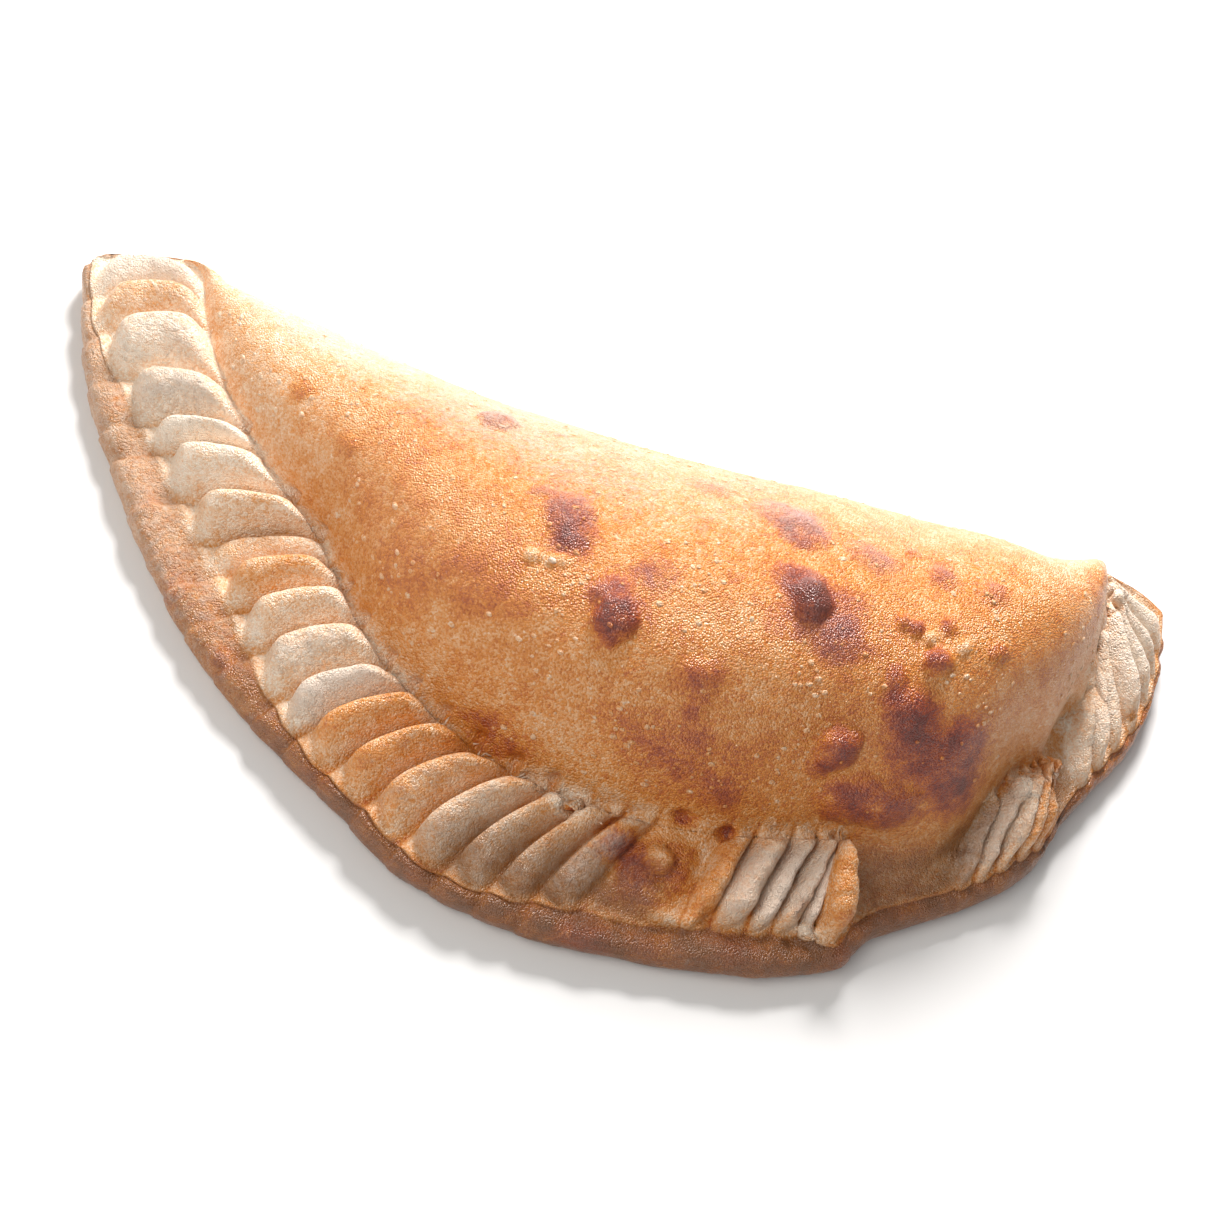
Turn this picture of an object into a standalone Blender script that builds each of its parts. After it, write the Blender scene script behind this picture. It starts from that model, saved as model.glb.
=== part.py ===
"""A calzone: one uncut pocket of baked dough, folded at the back and crimped by hand round the front.

The solid is lofted from closed cross-sections. Each section starts on the crimped rim, climbs over the
pleats and the filled dome to the fold, and comes back along the flat underside. +X runs along the calzone,
the fold is at the back (+Y) and the rim at the front (-Y). The origin is under the middle of its box.
"""

import math

import bmesh
import bpy
import numpy as np

MM = 0.001  # every length below is in millimetres

# Seen from above, everything is set out by the swing: degrees round the middle of the fold line, from the
# left tip round the front to the right tip. The rim, and the groove inside the crimp: (swing, radius)
FOLD_MIDDLE = (-2.0, 51.0)
RIM_RADII = [
    (-4, 141.5), (9, 133), (21, 125.7), (36, 121.8), (58, 120.3), (66, 121.5), (76, 126.5), (92, 128),
    (104, 129.5), (118, 133), (124, 128.5), (144, 134), (151, 132), (166, 138), (181, 139),
]
GROOVE_RADII = [
    (-8, 116), (12, 101), (24, 93), (38, 87), (60, 93), (80, 98), (105, 102), (119, 106),
    (135, 117), (146, 115), (163, 121), (186, 118),
]
# The fold line at the back that each part of the rim is folded over to: (swing, x, y)
FOLD_LINE = [
    (-4, -107, 59.5), (5, -97, 58.2), (18, -71, 51), (41, -36, 44), (65, -8, 43), (87, 15, 43.2),
    (109, 40, 44.7), (130, 69, 45.3), (151, 91, 43), (172, 103, 45.5), (181, 106, 50.5),
]

# The crimp: finger pleats in order along the rim, as (swing across, height); height 0 is dough pressed flat
PLEATS = [
    (4.5, 6), (4.7, 7), (5, 8), (5.6, 8), (3.5, 7), (6.4, 8), (6, 8), (4.3, 7), (5.2, 7.5), (5.6, 7.5),
    (6.5, 7.5), (4.6, 7), (5.1, 7), (5, 7), (5.1, 7.5), (4.9, 7.5), (4.6, 7), (4.3, 7), (4.9, 6), (10.5, 2),
    (2.9, 5), (4.9, 6), (2.9, 6), (3.5, 5), (5.6, 8), (13.6, 0), (4.6, 6), (4.2, 5.5), (2.2, 6), (13.6, 0),
    (3.6, 5), (3.1, 7), (3, 6), (2, 5), (9, 7),
]
LEDGE_WIDTH = [
    (-4, 1), (5, 2), (11, 8), (30, 11), (41, 10), (53, 5), (62, 2), (80, 3), (93, 7),
    (113, 8), (120, 4), (140, 4), (147, 2), (160, 3), (170, 1.5), (181, 1),
]
PLEAT_LEAN = [
    (-4, -0.5), (5, -2.5), (11, 1.5), (20, 4), (31, 6.5), (53, 7), (84, 9), (92, 8), (102, 6.5), (112, 8.5),
    (122, 2), (136, 11), (147, 7), (160, 4.5), (172, 4.5), (181, -1),
]
PLEAT_BOW = 2.0          # how far a pleat bows towards the left tip
CREASE_SHARE = 0.35      # height left in the crease between two pleats, as a share of the pleat's height
PIT_DEPTH = 2.0          # the dent where a crease runs into the dome
PLEAT_ARCH_POWER = 0.7
GROOVE_EVENING = 7.0     # the dome takes up the groove's bends only over this swing

# Heights
EDGE_HEIGHT = 4.0        # the rim's widest line
LEDGE_HEIGHT = 8.0       # two sheets of dough pressed together
GROOVE_HEIGHT = 15.0     # where the crimp meets the dome
CREST_HEIGHT = [
    (-4, 18), (6, 23), (18, 32), (41, 43), (65, 49), (91, 52), (130, 50), (151, 44),
    (166, 34), (174, 25), (181, 17),
]
FOLD_HEIGHT = 13.0       # where the fold at the back is widest
FOLD_TUCK = 9.0          # how far the underside draws in below the fold
RIM_TUCK = 5.0           # and below the rim
FRONT_FLATNESS = 0.5     # 0 makes the dome's front as steep as its back
TIP_REACH = (6.0, 4.5)   # how far each tip rounds out past its last section

# How finely the form is divided
COLUMNS_IN_A_PLEAT = (0.0, 0.22, 0.5, 0.78)
FLAT_STEP = 2.7
BAND_ROWS = (0.0, 0.1, 0.26, 0.5, 0.74, 0.9, 1.0)
DOME_ROWS = (0.045, 0.13, 0.24, 0.36, 0.49, 0.62, 0.75, 0.88, 1.0)  # shares of the half turn over the dome
TIP_RINGS = 3

CRUST_COLOUR = (0.56, 0.31, 0.12, 1.0)
CRUST_ROUGHNESS = 0.45


def through(knots, x, column=1):
    """The smooth curve through a table's knots, read at x; it never overshoots a knot."""
    table = np.array(knots, float)
    at, value = table[:, 0], table[:, column]
    rise = np.diff(value) / np.diff(at)
    before, after = rise[:-1], rise[1:]
    same_way = before * after > 0
    inner = np.where(same_way, 2 * before * after / np.where(same_way, before + after, 1), 0)
    slope = np.concatenate([rise[:1], inner, rise[-1:]])
    left = np.clip(np.searchsorted(at, x, side="right") - 1, 0, len(at) - 2)
    step = at[left + 1] - at[left]
    u = np.clip((x - at[left]) / step, 0, 1)
    return (
        (1 + 2 * u) * (1 - u) ** 2 * value[left]
        + u * (1 - u) ** 2 * step * slope[left]
        + u * u * (3 - 2 * u) * value[left + 1]
        + u * u * (u - 1) * step * slope[left + 1]
    )


def swung(radii, degrees):
    """Points in plan at these angles round the middle of the fold line."""
    turn = np.radians(degrees)
    outward = -np.stack([np.cos(turn), np.sin(turn)], -1)
    return np.array(FOLD_MIDDLE) + through(radii, degrees)[:, None] * outward


def evened(values, swing, span):
    """The values drawn smooth along the rim over this span, so that the dome doesn't carry the rim's dents."""
    offset = swing - swing[:, None]
    share = np.exp(-((offset / span) ** 2)) * np.gradient(swing)
    total, lean, spread = [(share * offset ** power).sum(1)[:, None] for power in range(3)]
    share *= (spread - lean * offset) / (total * spread - lean ** 2)
    return share @ values


def crimp_columns():
    """Where the loft's sections stand on the rim: (swing, share of the pleat crossed, pleat's height)."""
    columns = []
    start = RIM_RADII[0][0]
    last_height = PLEATS[0][1]
    for width, height in PLEATS:
        steps = round(width / FLAT_STEP)
        shares = COLUMNS_IN_A_PLEAT if height else [step / steps for step in range(steps)]
        for share in shares:
            here = height if share else (height + last_height) / 2
            columns.append((start + share * width, share, here))
        last_height = height
        start += width
    columns.append((start, 0.0, last_height))
    return np.array(columns).T


def pleat_arch(share):
    """How high a pleat stands across its width: a cusp at each crease, the crest a little to the left."""
    arch = np.sin(math.pi * np.clip(share, 0, 1) ** 0.85) ** PLEAT_ARCH_POWER
    return CREASE_SHARE + (1 - CREASE_SHARE) * arch


def pleat_profile(along):
    """How high a pleat stands along its length, from its outer end on the ledge to the groove."""
    blunt = 1 - np.clip(1 - along / 0.3, 0, 1) ** 2.4
    tail = 1 - np.clip((along - 0.7) / 0.3, 0, 1) ** 2.2
    return np.clip(blunt, 0, 1) ** 0.42 * (0.1 + 0.9 * np.clip(tail, 0, 1) ** 0.45)


def sections():
    """The loft's cross-sections: an array of closed rings, each the same number of points."""
    swing, share, height = crimp_columns()
    rim = swung(RIM_RADII, swing)
    groove = swung(GROOVE_RADII, swing + through(PLEAT_LEAN, swing))
    width = np.linalg.norm(groove - rim, axis=1)
    into = (groove - rim) / width[:, None]
    to_left = np.stack([-into[:, 1], into[:, 0]], -1)
    ledge = through(LEDGE_WIDTH, swing)
    fold = np.stack([through(FOLD_LINE, swing, 1), through(FOLD_LINE, swing, 2)], -1)
    crest = through(CREST_HEIGHT, swing)
    smooth_groove = evened(groove, swing, GROOVE_EVENING)

    rows = []

    def add(place, z):
        rows.append(np.column_stack([place, np.broadcast_to(z, len(swing))]))

    def on_crimp(part):
        bow = PLEAT_BOW * 4 * part * (1 - part)
        return rim + (groove - rim) * part[:, None] + to_left * bow[:, None]

    # Under the rim, round its edge and on to the ledge
    add(rim + into * RIM_TUCK, 0.0)
    lip = np.minimum(0.8 * ledge, 4.0)
    for turn in (-0.7, 0.0, 0.55):
        tuck = 1 - math.cos(turn * math.pi / 2)
        depth = RIM_TUCK if turn < 0 else lip
        rise = EDGE_HEIGHT if turn < 0 else LEDGE_HEIGHT - EDGE_HEIGHT
        add(rim + into * np.broadcast_to(tuck * depth, len(swing))[:, None],
            EDGE_HEIGHT + math.sin(turn * math.pi / 2) * rise)
    add(rim + into * lip[:, None], LEDGE_HEIGHT)
    first_band = len(rows)
    for along in BAND_ROWS:
        part = (ledge + along * (width - ledge)) / width
        add(on_crimp(part), LEDGE_HEIGHT + (GROOVE_HEIGHT - LEDGE_HEIGHT) * along ** 1.3)
    # Over the dome to the fold, then under it
    top = crest - (GROOVE_HEIGHT + FOLD_HEIGHT) / 2
    for share_of_arch in DOME_ROWS:
        turn = math.pi * share_of_arch
        flat = FRONT_FLATNESS * (1 + math.cos(turn)) / 2
        across = (1 - flat) * (1 - math.cos(turn)) / 2 + flat * turn / math.pi
        base = GROOVE_HEIGHT + (FOLD_HEIGHT - GROOVE_HEIGHT) * across
        start = smooth_groove + (groove - smooth_groove) * max(0.0, 1 - across / 0.3) ** 2
        add(start + (fold - start) * across, base + top * math.sin(turn))
    back = fold - rim
    back /= np.linalg.norm(back, axis=1)[:, None]
    add(fold - back * FOLD_TUCK * 0.25, FOLD_HEIGHT * 0.34)
    add(fold - back * FOLD_TUCK, 0.0)
    add((fold - back * FOLD_TUCK + rim + into * RIM_TUCK) / 2, 0.0)

    rings = np.stack(rows, 1)
    lift_pleats(rings, first_band, share, height)
    return rings


def lift_pleats(rings, first_band, share, height):
    """Raises the pleats square to the crimp, and presses a pit where each crease meets the dome."""
    base = rings.copy()
    along_rim = np.gradient(base, axis=0)
    for row, along in enumerate(BAND_ROWS):
        index = first_band + row
        across = base[:, index + 1] - base[:, index - 1]
        out = np.cross(along_rim[:, index], across)
        out /= np.linalg.norm(out, axis=1)[:, None]
        rise = height * pleat_arch(share) * pleat_profile(along)
        pit = np.where((share == 0) & (height > 0), PIT_DEPTH, 0.0) * max(0.0, 1 - abs(along - 0.95) / 0.15)
        rings[:, index] += out * (rise - pit)[:, None]


def rounded_tips(rings):
    """Adds rings that shrink to a blunt point past the first section and past the last."""
    whole = list(rings)
    for end, step, reach in ((0, 1, TIP_REACH[0]), (-1, -1, TIP_REACH[1])):
        section = rings[end]
        middle = section.mean(0)
        outward = (section - rings[end + step]).mean(0)
        outward[2] = 0
        outward /= np.linalg.norm(outward)
        for ring in range(1, TIP_RINGS + 1):
            turn = math.pi / 2 * ring / (TIP_RINGS + 0.35)
            smaller = middle + (section - middle) * math.cos(turn) + outward * reach * math.sin(turn)
            if end == 0:
                whole.insert(0, smaller)
            else:
                whole.append(smaller)
    return whole


def crust_material():
    material = bpy.data.materials.new("baked_crust")
    material.use_nodes = True
    shader = material.node_tree.nodes["Principled BSDF"]
    shader.inputs["Base Color"].default_value = CRUST_COLOUR
    shader.inputs["Roughness"].default_value = CRUST_ROUGHNESS
    shader.inputs["Metallic"].default_value = 0.0
    return material


def build_calzone():
    rings = rounded_tips(sections())
    points = np.concatenate(rings)
    middle = (points.min(0) + points.max(0)) / 2
    shift = np.array([middle[0], middle[1], points[:, 2].min()])

    bm = bmesh.new()
    loops = []
    for ring in rings:
        verts = [bm.verts.new((point - shift) * MM) for point in ring]
        loops.append([bm.edges.new((verts[i - 1], verts[i])) for i in range(len(verts))])
    for first, second in zip(loops, loops[1:]):
        bmesh.ops.bridge_loops(bm, edges=first + second)
    bmesh.ops.holes_fill(bm, edges=loops[0] + loops[-1])
    bmesh.ops.triangulate(bm, faces=bm.faces)
    bmesh.ops.recalc_face_normals(bm, faces=bm.faces)

    mesh = bpy.data.meshes.new("calzone")
    bm.to_mesh(mesh)
    bm.free()
    mesh.shade_smooth()
    mesh.materials.append(crust_material())
    calzone = bpy.data.objects.new("calzone", mesh)
    bpy.context.scene.collection.objects.link(calzone)
    return calzone


def main():
    for old in list(bpy.data.objects):
        bpy.data.objects.remove(old)
    build_calzone()


if __name__ == "__main__":
    main()
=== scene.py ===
import math

import bpy
import numpy as np
from mathutils import Matrix, Vector


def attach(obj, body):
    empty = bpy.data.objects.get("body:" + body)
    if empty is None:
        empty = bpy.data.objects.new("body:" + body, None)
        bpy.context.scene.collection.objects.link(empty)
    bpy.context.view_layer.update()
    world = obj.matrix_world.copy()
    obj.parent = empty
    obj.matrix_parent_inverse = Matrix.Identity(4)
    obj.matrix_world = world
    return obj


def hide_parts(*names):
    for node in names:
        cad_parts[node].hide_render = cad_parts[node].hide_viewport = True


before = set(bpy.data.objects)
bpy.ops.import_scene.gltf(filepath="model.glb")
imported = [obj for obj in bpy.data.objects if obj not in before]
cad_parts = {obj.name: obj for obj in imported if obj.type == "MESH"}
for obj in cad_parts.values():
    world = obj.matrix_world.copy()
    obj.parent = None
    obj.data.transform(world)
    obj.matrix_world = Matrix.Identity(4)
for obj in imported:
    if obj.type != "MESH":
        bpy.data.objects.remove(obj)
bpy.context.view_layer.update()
mm = 0.001
print("calzone: frame loaded")

# The form in plan, in mm. Swing is degrees round the middle of the fold, left tip to right tip.
form = {
    "boxMiddle": (-3.09, -5.24),
    "foldMiddle": (-2.0, 51.0),
    # (swing, radius)
    "rimRadii": [
        (-4, 141.5), (9, 133), (21, 125.7), (36, 121.8), (58, 120.3), (66, 121.5), (76, 126.5), (92, 128),
        (104, 129.5), (118, 133), (124, 128.5), (144, 134), (151, 132), (166, 138), (181, 139),
    ],
    "grooveRadii": [
        (-8, 116), (12, 101), (24, 93), (38, 87), (60, 93), (80, 98), (105, 102), (119, 106),
        (135, 117), (146, 115), (151, 117.5), (156, 116), (162, 119.5), (168, 115.5), (174, 116.5), (186, 113),
    ],
    # (swing, x, y)
    "foldLine": [
        (-4, -107, 59.5), (5, -97, 58.2), (18, -71, 51), (41, -36, 44), (65, -8, 43), (87, 15, 43.2),
        (109, 40, 44.7), (130, 69, 45.3), (151, 91, 43), (172, 103, 45.5), (181, 106, 50.5),
    ],
    "ledgeWidth": [
        (-4, 1), (4, 2.5), (14, 8), (30, 11), (41, 10), (53, 5), (62, 2), (80, 3), (93, 7),
        (113, 8), (120, 4), (140, 4), (147, 2), (160, 3), (170, 1.5), (181, 1),
    ],
    "pleatLean": [
        (-4, -0.5), (5, -2.5), (11, 1.5), (20, 4), (31, 6.5), (53, 7), (84, 9), (92, 8), (102, 6.5), (112, 8.5),
        (122, 2), (136, 11), (147, 6), (156, 6.5), (163, 10), (170, 7.5), (176, 3), (181, -1),
    ],
    "crestHeight": [
        (-4, 18), (6, 23), (18, 32), (41, 43), (65, 49), (91, 52), (130, 50), (151, 44),
        (166, 34), (174, 25), (181, 17),
    ],
    "edgeHeight": 4.0,
    "ledgeHeight": 8.0,
    "grooveHeight": 15.0,
    "foldHeight": 13.0,
    "foldTuck": 9.0,
    "rimTuck": 5.0,
    "frontFlatness": 0.5,
    "grooveEvening": 7.0,
    "pleatBow": 2.0,
    "petal": 0.9,            # how far a pleat's outer end bulges over the ledge
    "tipReach": (6.0, 4.5),
}

# Each pleat: width in degrees of swing, height in mm, flour and browning from 0 to 1, how slantwise its
# inner end is cut, and the side it is steep on, 1 for the left and 0 for the right
pleats = [
    (4.5, 5.0, 0.45, -0.06, 0.02, 1), (4.7, 6.5, 0.15, 0.20, 0.02, 1), (5.0, 7.5, 0.35, 0.02, 0.04, 1),
    (5.6, 7.5, 0.50, 0.02, 0.08, 1), (3.5, 6.5, 0.25, -0.04, 0.12, 1), (6.4, 7.8, 0.05, 0.04, 0.10, 1),
    (6.0, 7.8, 0.05, 0.14, 0.08, 1), (4.3, 3.8, 0.10, 0.16, 0.12, 1), (5.2, 7.2, 0.05, 0.28, 0.16, 1),
    (5.6, 7.4, 0.15, 0.12, 0.09, 1), (6.5, 7.2, 0.40, 0.10, 0.11, 1), (4.6, 7.2, 0.70, 0.00, 0.15, 1),
    (5.1, 7.0, 0.05, 0.34, 0.08, 1), (5.0, 7.0, 0.08, 0.34, 0.10, 1), (5.1, 7.4, 0.22, 0.28, 0.16, 1),
    (4.9, 7.4, 0.40, 0.20, 0.13, 1), (4.6, 6.2, 0.28, 0.22, 0.10, 1), (4.3, 5.6, 0.26, 0.24, 0.08, 1),
    (4.9, 5.0, 0.35, 0.26, 0.08, 1), (10.5, 2.0, 0.05, 0.42, 0.0, 1), (2.9, 4.4, 0.10, 0.36, 0.08, 0),
    (3.6, 6.6, 0.60, 0.14, 0.10, 0), (2.4, 5.4, 0.85, 0.06, 0.06, 0), (3.0, 6.2, 0.65, 0.14, 0.12, 0),
    (2.1, 5.0, 0.80, 0.08, 0.08, 0), (5.3, 9.0, 0.0, 0.32, 0.14, 0), (11.2, 0.0, 0.05, 0.34, 0.0, 1),
    (2.4, 3.2, 0.40, 0.20, 0.45, 0), (2.7, 5.0, 0.60, 0.12, 0.22, 0),
    (2.9, 7.0, 0.45, 0.14, 0.12, 0), (2.8, 7.6, 0.10, 0.26, 0.10, 0), (2.6, 6.5, 0.05, 0.32, 0.06, 0), (7.2, 0.0, 0.10, 0.28, 0.0, 1),
    (3.2, 4.0, 0.30, 0.08, 0.12, 0), (3.4, 5.6, 0.45, 0.04, 0.08, 0), (3.2, 4.6, 0.35, 0.05, 0.04, 0),
    (4.2, 6.8, 0.50, 0.02, 0.08, 0), (4.0, 6.2, 0.45, 0.02, 0.04, 0), (3.6, 5.4, 0.45, 0.02, 0.10, 0),
    (5.5, 4.8, 0.40, 0.02, 0.02, 0),
]

# How finely the skin is divided
division = {
    "pleatShares": (0, 0.025, 0.06, 0.105, 0.16, 0.23, 0.31, 0.41, 0.52, 0.63, 0.74, 0.84, 0.93),
    "flatStep": 0.7,
    "underRows": 2,
    "edgeRows": 8,
    "ledgeRows": 8,
    "crimpRows": 43,
    "domeRows": 116,
    "backRows": 3,
    "tipRings": 7,
    "alongDome": 4.5,        # the crimp's own widths from the groove to the fold
}


def through(knots, x, column=1):
    # The smooth curve through a table's knots, which never overshoots one
    table = np.array(knots, float)
    at, value = table[:, 0], table[:, column]
    rise = np.diff(value) / np.diff(at)
    before, after = rise[:-1], rise[1:]
    sameWay = before * after > 0
    inner = np.where(sameWay, 2 * before * after / np.where(sameWay, before + after, 1), 0)
    slope = np.concatenate([rise[:1], inner, rise[-1:]])
    left = np.clip(np.searchsorted(at, x, side="right") - 1, 0, len(at) - 2)
    step = at[left + 1] - at[left]
    u = np.clip((x - at[left]) / step, 0, 1)
    return (
        (1 + 2 * u) * (1 - u) ** 2 * value[left]
        + u * (1 - u) ** 2 * step * slope[left]
        + u * u * (3 - 2 * u) * value[left + 1]
        + u * u * (u - 1) * step * slope[left + 1]
    )


def swung(radii, degrees):
    turn = np.radians(degrees)
    outward = -np.stack([np.cos(turn), np.sin(turn)], -1)
    return np.array(form["foldMiddle"]) + through(radii, degrees)[:, None] * outward


def evened(values, swing, span):
    # Drawn smooth along the rim, so that the dome doesn't carry the crimp's dents
    offset = swing - swing[:, None]
    share = np.exp(-((offset / span) ** 2)) * np.gradient(swing)
    total, lean, spread = [(share * offset ** power).sum(1)[:, None] for power in range(3)]
    share *= (spread - lean * offset) / (total * spread - lean ** 2)
    return share @ values


def smoothStep(low, high, x):
    t = np.clip((x - low) / (high - low), 0, 1)
    return t * t * (3 - 2 * t)


def rimColumns():
    # Where the skin's columns stand on the rim, with what each takes from its pleat
    columns = []
    start = form["rimRadii"][0][0]
    last = pleats[0]
    for pleat in pleats:
        width = pleat[0]
        shares = division["pleatShares"]
        if pleat[5] == 0:
            shares = [0.0] + [1 - share for share in shares[:0:-1]]
        if not pleat[1] or width > 8:
            count = round(width / division["flatStep"])
            shares = [step / count for step in range(count)]
        for share in shares:
            mix = 0.5 + 0.5 * min(1, share / 0.06)
            blended = [own * mix + other * (1 - mix) for own, other in zip(pleat[1:5], last[1:5])]
            columns.append([start + share * width, share, width] + blended + [pleat[5]])
        last = pleat
        start += width
    columns.append([start, 0.0] + list(last))
    return np.array(columns).T


def plainSkin():
    # Closed rings of points before any pleat is raised, and the fields that go with them
    swing, share, width, height, flour, brown, cut, side = rimColumns()
    count = len(swing)
    rim = swung(form["rimRadii"], swing)
    groove = swung(form["grooveRadii"], swing + through(form["pleatLean"], swing))
    span = np.linalg.norm(groove - rim, axis=1)
    into = (groove - rim) / span[:, None]
    toLeft = np.stack([-into[:, 1], into[:, 0]], -1)
    turned = np.where(side > 0, share, 1 - share)
    petal = np.where(height > 0, form["petal"] * (np.sin(math.pi * turned ** 1.3) - 0.35), 0.0)
    ledge = through(form["ledgeWidth"], swing)
    bandStart = np.maximum(ledge - petal * np.clip(ledge / 3, 0.3, 1), 0.4)
    fold = np.stack([through(form["foldLine"], swing, 1), through(form["foldLine"], swing, 2)], -1)
    crest = through(form["crestHeight"], swing)
    smoothGroove = evened(groove, swing, form["grooveEvening"])

    rings, fields = [], []

    def addRow(place, z, along, over=0.0):
        rings.append(np.column_stack([place, np.broadcast_to(z, count)]))
        fields.append((along, over))

    def onCrimp(part):
        bow = form["pleatBow"] * 4 * part * (1 - part)
        return rim + (groove - rim) * part[:, None] + toLeft * bow[:, None]

    addRow(rim + into * (form["rimTuck"] + 4), 0.0, -2.0)
    addRow(rim + into * form["rimTuck"], 0.0, -1.6)
    lip = np.minimum(0.8 * bandStart, 4.0)
    for row in range(1, division["edgeRows"]):
        turn = -1 + 2 * row / division["edgeRows"]
        tuck = 1 - math.cos(turn * math.pi / 2)
        depth = form["rimTuck"] if turn < 0 else lip
        rise = form["edgeHeight"] if turn < 0 else form["ledgeHeight"] - form["edgeHeight"]
        reach = np.broadcast_to(tuck * depth, count)[:, None]
        addRow(rim + into * reach, form["edgeHeight"] + math.sin(turn * math.pi / 2) * rise, -1 + 0.4 * turn)
    for row in range(division["ledgeRows"]):
        part = row / division["ledgeRows"]
        reach = lip + (bandStart - lip) * part
        addRow(onCrimp(reach / span), form["ledgeHeight"], -0.5 + 0.5 * part)
    for row in range(division["crimpRows"]):
        along = row / (division["crimpRows"] - 1)
        eased = along + 0.35 * along * (1 - along) * (2 * along - 1)
        part = (bandStart + eased * (span - bandStart)) / span
        lift = (form["grooveHeight"] - form["ledgeHeight"]) * eased ** 1.3
        addRow(onCrimp(part), form["ledgeHeight"] + lift, eased)
    top = crest - (form["grooveHeight"] + form["foldHeight"]) / 2
    for row in range(1, division["domeRows"] + 1):
        over = (row / division["domeRows"]) ** 1.12
        turn = math.pi * over
        flat = form["frontFlatness"] * (1 + math.cos(turn)) / 2
        across = (1 - flat) * (1 - math.cos(turn)) / 2 + flat * turn / math.pi
        base = form["grooveHeight"] + (form["foldHeight"] - form["grooveHeight"]) * across
        start = smoothGroove + (groove - smoothGroove) * max(0.0, 1 - across / 0.3) ** 2
        along = 1 + division["alongDome"] * over
        addRow(start + (fold - start) * across, base + top * math.sin(turn), along, over)
    back = fold - rim
    back /= np.linalg.norm(back, axis=1)[:, None]
    for row in range(1, division["backRows"] + 1):
        turn = math.pi / 2 * row / division["backRows"]
        tuck = form["foldTuck"] * (1 - math.cos(turn))
        addRow(fold - back * tuck, form["foldHeight"] * (1 - math.sin(turn)), 6.0, 1.0)
    addRow(fold - back * (form["foldTuck"] + 6), 0.0, 6.2, 1.0)
    addRow((fold + rim) / 2, 0.0, 6.5, 1.0)

    skin = np.stack(rings, 1)
    skin[:, :, :2] -= form["boxMiddle"]
    along = np.broadcast_to([f[0] for f in fields], skin.shape[:2])
    over = np.broadcast_to([f[1] for f in fields], skin.shape[:2])
    perColumn = {
        "swing": swing, "share": share, "pitch": width, "height": height, "flour": flour, "brown": brown,
        "cut": cut, "side": side,
    }
    held = {name: np.repeat(value[:, None], skin.shape[1], 1) for name, value in perColumn.items()}
    held["along"] = np.array(along)
    held["over"] = np.array(over)
    return skin, held


def roundTips(skin, held):
    # Rings that shrink to a blunt end past each tip
    rings = [list(skin)]
    before, after = [], []
    for end, step, reach, out in ((0, 1, form["tipReach"][0], before), (-1, -1, form["tipReach"][1], after)):
        section = skin[end]
        middle = section.mean(0)
        outward = (section - skin[end + 16 * step]).mean(0)
        outward[2] = 0
        outward /= np.linalg.norm(outward)
        for ring in range(1, division["tipRings"] + 1):
            turn = math.pi / 2 * ring / (division["tipRings"] + 0.25)
            out.append(middle + (section - middle) * math.cos(turn) + outward * reach * math.sin(turn))
    whole = np.array(before[::-1] + rings[0] + after)
    ends = division["tipRings"]
    heldWhole = {
        name: np.concatenate([np.repeat(value[:1], ends, 0), value, np.repeat(value[-1:], ends, 0)])
        for name, value in held.items()
    }
    return whole, heldWhole


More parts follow.
